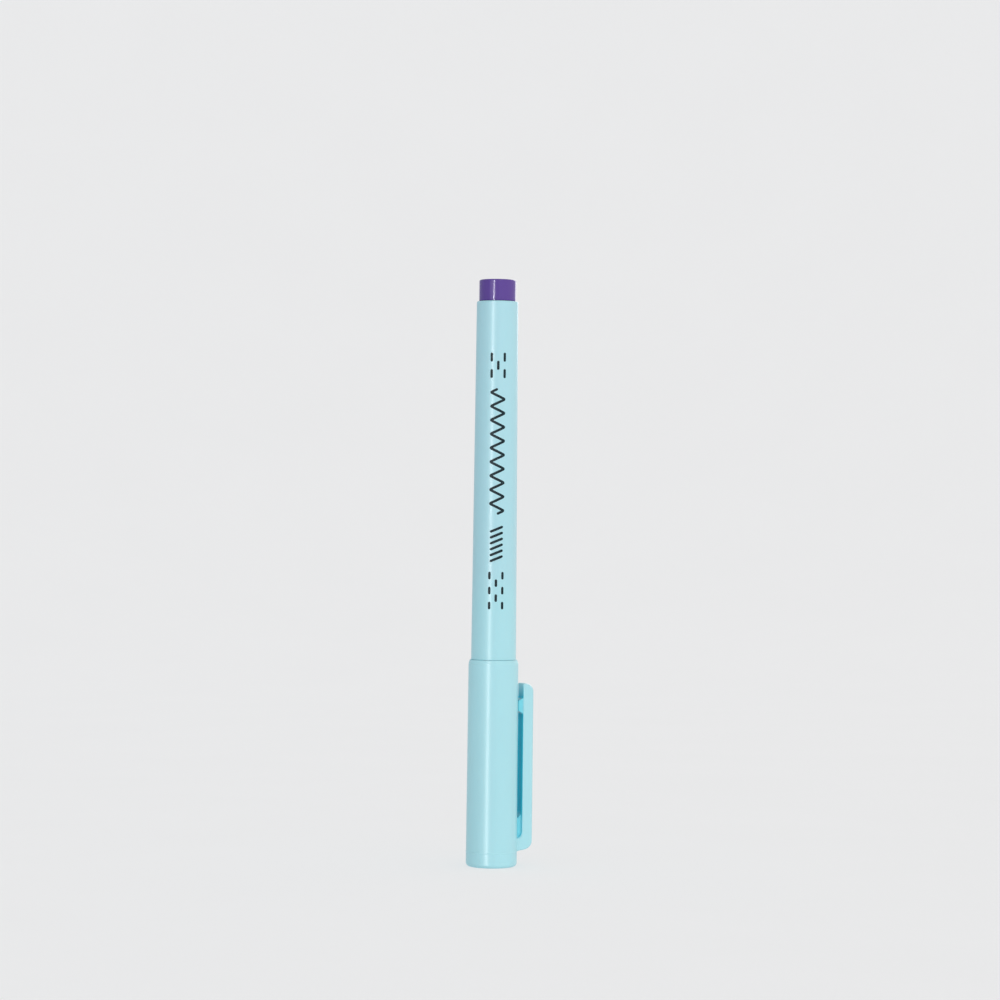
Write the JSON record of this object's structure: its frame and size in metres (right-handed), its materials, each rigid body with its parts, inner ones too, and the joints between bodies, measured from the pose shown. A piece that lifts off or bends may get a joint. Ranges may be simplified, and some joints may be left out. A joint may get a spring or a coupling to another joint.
{
  "type": "fabric marking pen",
  "caption": "Slim fibre-tip pen for marking fabric: tapered barrel, tail plug, push-on cap with a pocket clip, and the nib, ink reservoir and seals inside.",
  "frame": {"origin": "centre of the flat closed end of the cap, on the pen's axis", "axes": "+Z runs along the pen from the cap's closed end to the tail, and +X points from the pen's axis to the pocket clip"},
  "size_m": [0.0158, 0.012, 0.138],
  "materials": {
    "cap_aqua": "satin",
    "barrel_aqua": "satin",
    "plug_purple": "gloss",
    "liner_white": "matte",
    "holder_white": "satin",
    "nib_fibre": "matte",
    "reservoir_fibre": "matte",
    "film_clear": "gloss"
  },
  "bodies": {
    "cap": {"cap_shell": "cap_aqua"},
    "clip": {"clip": "cap_aqua"},
    "inner_cap": {"inner_cap": "liner_white"},
    "pen": {"barrel": "barrel_aqua", "tail_plug": "plug_purple", "nib_holder": "holder_white", "nib": "nib_fibre", "reservoir_core": "reservoir_fibre", "reservoir_film": "film_clear"}
  },
  "joints": [
    {"name": "clip_flex", "type": "hinge", "parent": "cap", "child": "clip", "pos_m": [0.006, 0, 0.0036], "axis": [0, 1, 0], "range_deg": [0, 4], "stiffness_Nm_per_rad": 0.25},
    {"name": "pen_turn", "type": "hinge", "parent": "cap", "child": "inner_cap", "pos_m": [0, 0, 0], "axis": [0, 0, 1], "continuous": true},
    {"name": "pen_pull", "type": "slide", "parent": "inner_cap", "child": "pen", "axis": [0, 0, 1], "range_m": [0, 0.055]}
  ]
}
